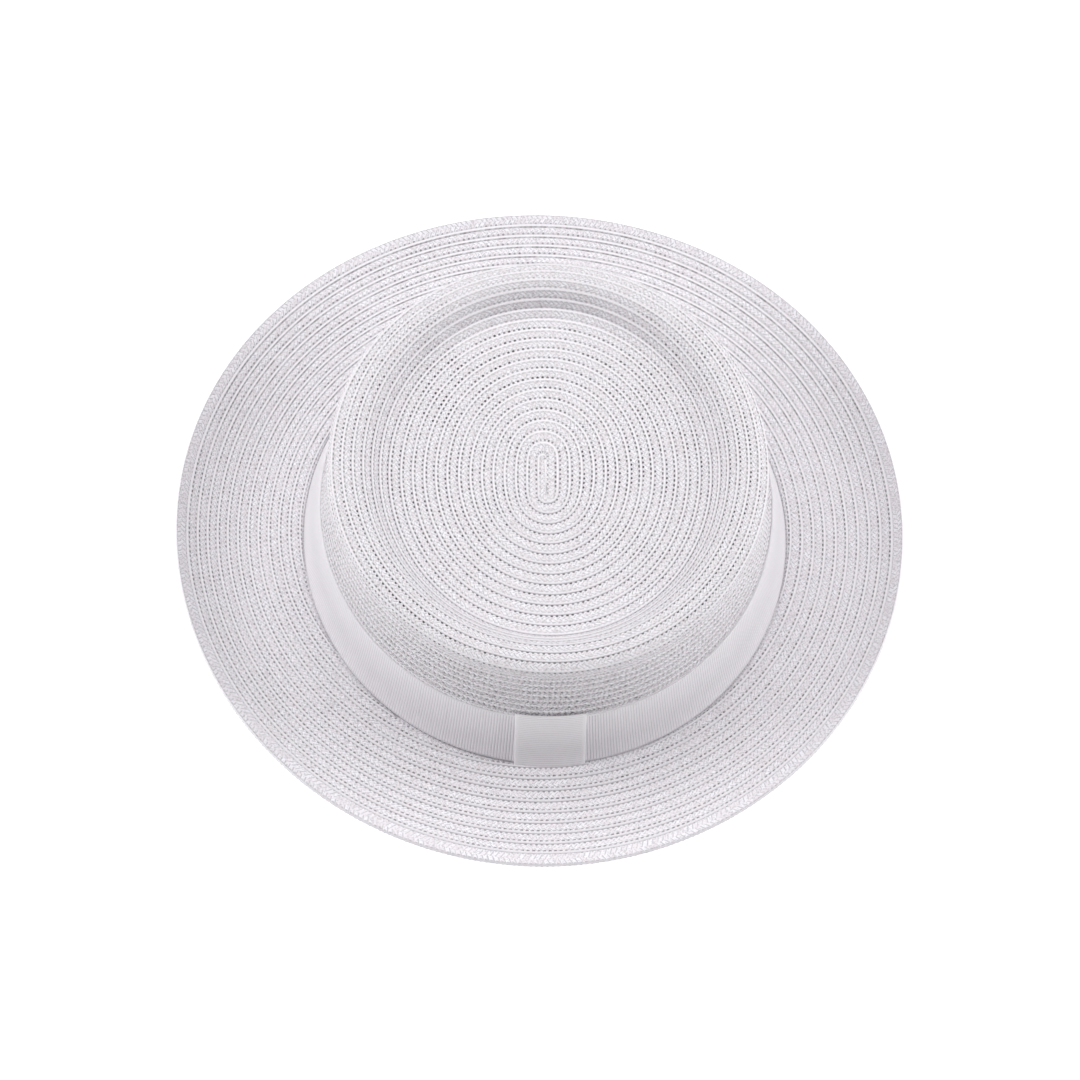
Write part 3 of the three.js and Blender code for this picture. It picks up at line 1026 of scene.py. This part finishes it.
class STRAWHAT_OT_stage(bpy.types.Operator):
    """Lay the floor, and place the lights and the camera"""

    bl_idname = "straw_hat.stage"
    bl_label = "Stage"

    def execute(self, context):
        scene, stage = context.scene, context.scene.straw_hat_stage
        self.floor(scene, stage)
        self.lights(scene, stage)
        self.camera(scene)
        scene.view_settings.view_transform = "Standard"
        return {"FINISHED"}

    def floor(self, scene, stage):
        mesh = bpy.data.meshes.new("floor")
        far = 6.0
        corners = [(-far, -far, 0), (far, -far, 0), (far, far, 0), (-far, far, 0)]
        mesh.from_pydata(corners, [], [(0, 1, 2, 3)])
        floor = bpy.data.objects.new("floor", mesh)
        material, bench = new_material("Pale Floor")
        bench.principled({
            "Base Color": (*stage.floor_color, 1), "Roughness": 0.9, "Specular IOR Level": 0.0,
            "Emission Color": (1, 1, 1, 1), "Emission Strength": stage.floor_glow})
        mesh.materials.append(material)
        scene.collection.objects.link(floor)

    def lights(self, scene, stage):
        world = bpy.data.worlds.new("Pale Room")
        world.use_nodes = True
        world.node_tree.nodes.clear()
        bench = Bench(world.node_tree)
        sky = bench.node(
            "ShaderNodeBackground", None, {"Color": (1, 1, 1, 1), "Strength": stage.sky})
        bench.node("ShaderNodeOutputWorld", None, {"Surface": sky.outputs[0]})
        scene.world = world
        for name, power, size, spot in (
            ("top_light", stage.top_light, 1.6, Vector((-0.1, 0.3, 1.52))),
            ("left_light", stage.left_light, 1.0, Vector((-1.5, 0.1, 0.7))),
            ("right_light", stage.right_light, 1.0, Vector((1.5, 0.1, 0.7))),
        ):
            lamp = bpy.data.lights.new(name, "AREA")
            lamp.size, lamp.energy = size, power
            holder = bpy.data.objects.new(name, lamp)
            holder.matrix_world = looking(spot)
            scene.collection.objects.link(holder)

    def camera(self, scene):
        turn, rise, roll = (math.radians(angle) for angle in (-3.29, 61.0, 2.65))
        distance, level = 1.505, math.cos(rise)
        back = Vector((math.sin(turn) * level, -math.cos(turn) * level, math.sin(rise)))
        lens = bpy.data.cameras.new("camera")
        lens.sensor_width, lens.lens = 36.0, 138.47
        lens.shift_x, lens.shift_y = -0.00455, -0.00292
        lens.clip_end = 50.0
        camera = bpy.data.objects.new("camera", lens)
        aim = Vector((CROWN_X * MM, 0, 0))
        camera.matrix_world = looking(back, distance, aim) @ Matrix.Rotation(roll, 4, "Z")
        scene.collection.objects.link(camera)
        scene.camera = camera


# ---- panel and running ----

GROUPS = (
    ("straw_hat_straw", StrawSettings),
    ("straw_hat_ribbon", RibbonSettings),
    ("straw_hat_stage", StageSettings),
)
STEPS = (
    STRAWHAT_OT_stage,
    STRAWHAT_OT_crown_top,
    STRAWHAT_OT_crown_side,
    STRAWHAT_OT_brim,
    STRAWHAT_OT_linings,
    STRAWHAT_OT_band,
    STRAWHAT_OT_keeper,
)


class STRAWHAT_PT_panel(bpy.types.Panel):
    """The hat's settings and steps"""

    bl_label = "Straw Hat"
    bl_idname = "STRAWHAT_PT_panel"
    bl_space_type = "VIEW_3D"
    bl_region_type = "UI"
    bl_category = "Straw Hat"

    def draw(self, context):
        for step in STEPS:
            self.layout.operator(step.bl_idname)
        for key, group in GROUPS:
            box = self.layout.box()
            for name in group.__annotations__:
                box.prop(getattr(context.scene, key), name)


CLASSES = (*(group for _, group in GROUPS), *STEPS, STRAWHAT_PT_panel)


def register():
    for kind in CLASSES:
        bpy.utils.register_class(kind)
    for key, group in GROUPS:
        setattr(bpy.types.Scene, key, PointerProperty(type=group))


def unregister():
    for key, _ in GROUPS:
        delattr(bpy.types.Scene, key)
    for kind in reversed(CLASSES):
        bpy.utils.unregister_class(kind)


def main():
    register()
    for step in STEPS:
        getattr(bpy.ops.straw_hat, step.bl_idname.split(".")[1])()


if __name__ == "__main__":
    main()
